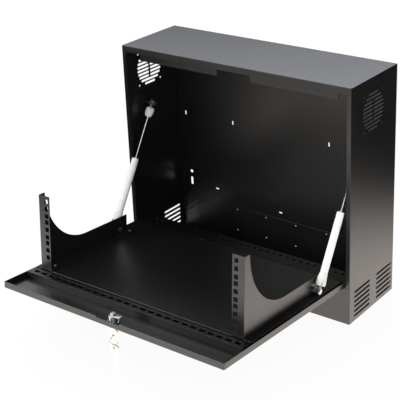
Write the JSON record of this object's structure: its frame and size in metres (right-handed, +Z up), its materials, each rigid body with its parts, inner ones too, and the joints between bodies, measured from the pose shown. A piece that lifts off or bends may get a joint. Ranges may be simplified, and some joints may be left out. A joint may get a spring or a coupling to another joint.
{
  "type": "wall mount rack cabinet",
  "caption": "Shallow wall cabinet for 19 inch equipment with a fold-down door on gas struts, rack brackets on the door, fan grilles, vents and a key lock.",
  "frame": {"origin": "on the back face, midway between the two wall holes", "axes": "+X right seen from the front, +Y out of the back into the wall, +Z up"},
  "size_m": [0.566, 0.5879, 0.505],
  "materials": {
    "powder_coat": "fine textured satin powder coat, black",
    "zinc_plate": "bright zinc plate",
    "chromed_rod": "ground and polished",
    "cylinder_paint": "smooth light grey paint",
    "white_nylon": "moulded, lightly ribbed",
    "black_nylon": "machined",
    "nickel": "nickel plated, brushed"
  },
  "bodies": {
    "cabinet": {"back_panel": "powder_coat", "cabinet_shell": "powder_coat", "cable_entry_cover": "powder_coat", "door_stop_left": "powder_coat", "door_stop_right": "powder_coat", "floor_panel": "powder_coat", "hinge_fixed_nuts": "zinc_plate", "hinge_left_fixed_leaf": "powder_coat", "hinge_left_pin": "zinc_plate", "hinge_right_fixed_leaf": "powder_coat", "hinge_right_pin": "zinc_plate", "lock_strike": "powder_coat", "plinth_panel": "powder_coat", "strut_left_wall_bracket": "powder_coat", "strut_right_wall_bracket": "powder_coat"},
    "door": {"bracket_bolts": "zinc_plate", "bracket_nuts": "zinc_plate", "door_tray": "powder_coat", "equipment_plate": "powder_coat", "hinge_door_nuts": "zinc_plate", "hinge_left_door_leaf": "powder_coat", "hinge_right_door_leaf": "powder_coat", "lacing_rail": "powder_coat", "lock_body": "zinc_plate", "lock_nut": "zinc_plate", "lower_pivot_nuts": "zinc_plate", "lower_pivot_studs": "zinc_plate", "rack_bracket_left": "powder_coat", "rack_bracket_right": "powder_coat"},
    "left_cylinder": {"strut_left_guide": "black_nylon", "strut_left_tube": "cylinder_paint", "strut_left_tube_clip": "zinc_plate", "strut_left_tube_eye": "zinc_plate", "strut_left_tube_fitting": "white_nylon"},
    "left_piston_rod": {"strut_left_eye_bolt": "zinc_plate", "strut_left_piston": "black_nylon", "strut_left_rod": "chromed_rod", "strut_left_rod_clip": "zinc_plate", "strut_left_rod_eye": "zinc_plate", "strut_left_rod_fitting": "white_nylon"},
    "right_cylinder": {"strut_right_guide": "black_nylon", "strut_right_tube": "cylinder_paint", "strut_right_tube_clip": "zinc_plate", "strut_right_tube_eye": "zinc_plate", "strut_right_tube_fitting": "white_nylon"},
    "right_piston_rod": {"strut_right_eye_bolt": "zinc_plate", "strut_right_piston": "black_nylon", "strut_right_rod": "chromed_rod", "strut_right_rod_clip": "zinc_plate", "strut_right_rod_eye": "zinc_plate", "strut_right_rod_fitting": "white_nylon"},
    "lock_barrel": {"cam_nut": "zinc_plate", "lock_cam": "zinc_plate", "lock_core": "zinc_plate"},
    "fitted_key": {"key": "nickel"},
    "ring_and_spare": {"key_ring": "nickel", "spare_key": "nickel"}
  },
  "joints": [
    {"name": "door_hinge", "type": "hinge", "parent": "cabinet", "child": "door", "pos_m": [0, -0.18, -0.074], "axis": [-1, 0, 0], "range_deg": [0, 86]},
    {"name": "left_strut_swing", "type": "hinge", "parent": "door", "child": "left_cylinder", "pos_m": [-0.263, -0.26508, -0.04349], "axis": [1, 0, 0], "range_deg": [0, 105.35]},
    {"name": "left_strut_slide", "type": "slide", "parent": "left_cylinder", "child": "left_piston_rod", "axis": [0, -0.5201, -0.8541], "range_m": [0, 0.09442]},
    {"name": "right_strut_swing", "type": "hinge", "parent": "door", "child": "right_cylinder", "pos_m": [0.263, -0.26508, -0.04349], "axis": [1, 0, 0], "range_deg": [0, 105.35]},
    {"name": "right_strut_slide", "type": "slide", "parent": "right_cylinder", "child": "right_piston_rod", "axis": [0, -0.5201, -0.8541], "range_m": [0, 0.09442]},
    {"name": "lock_turn", "type": "hinge", "parent": "door", "child": "lock_barrel", "pos_m": [0.003, -0.57204, -0.04659], "axis": [0, -0.0698, -0.9976], "range_deg": [0, 90]},
    {"name": "key_slide", "type": "slide", "parent": "lock_barrel", "child": "fitted_key", "axis": [0, -0.0698, -0.9976], "range_m": [0, 0.03]},
    {"name": "ring_swing", "type": "hinge", "parent": "fitted_key", "child": "ring_and_spare", "pos_m": [0.003, -0.57368, -0.07003], "axis": [0, 0.9976, -0.0698], "range_deg": [-85, 85]}
  ],
  "couplings": [
    {"joint": "left_strut_swing", "follows": "door_hinge", "ratio": 1.2245},
    {"joint": "left_strut_slide", "follows": "door_hinge", "m_per_rad": 0.062837},
    {"joint": "right_strut_swing", "follows": "door_hinge", "ratio": 1.2245},
    {"joint": "right_strut_slide", "follows": "door_hinge", "m_per_rad": 0.062837}
  ]
}
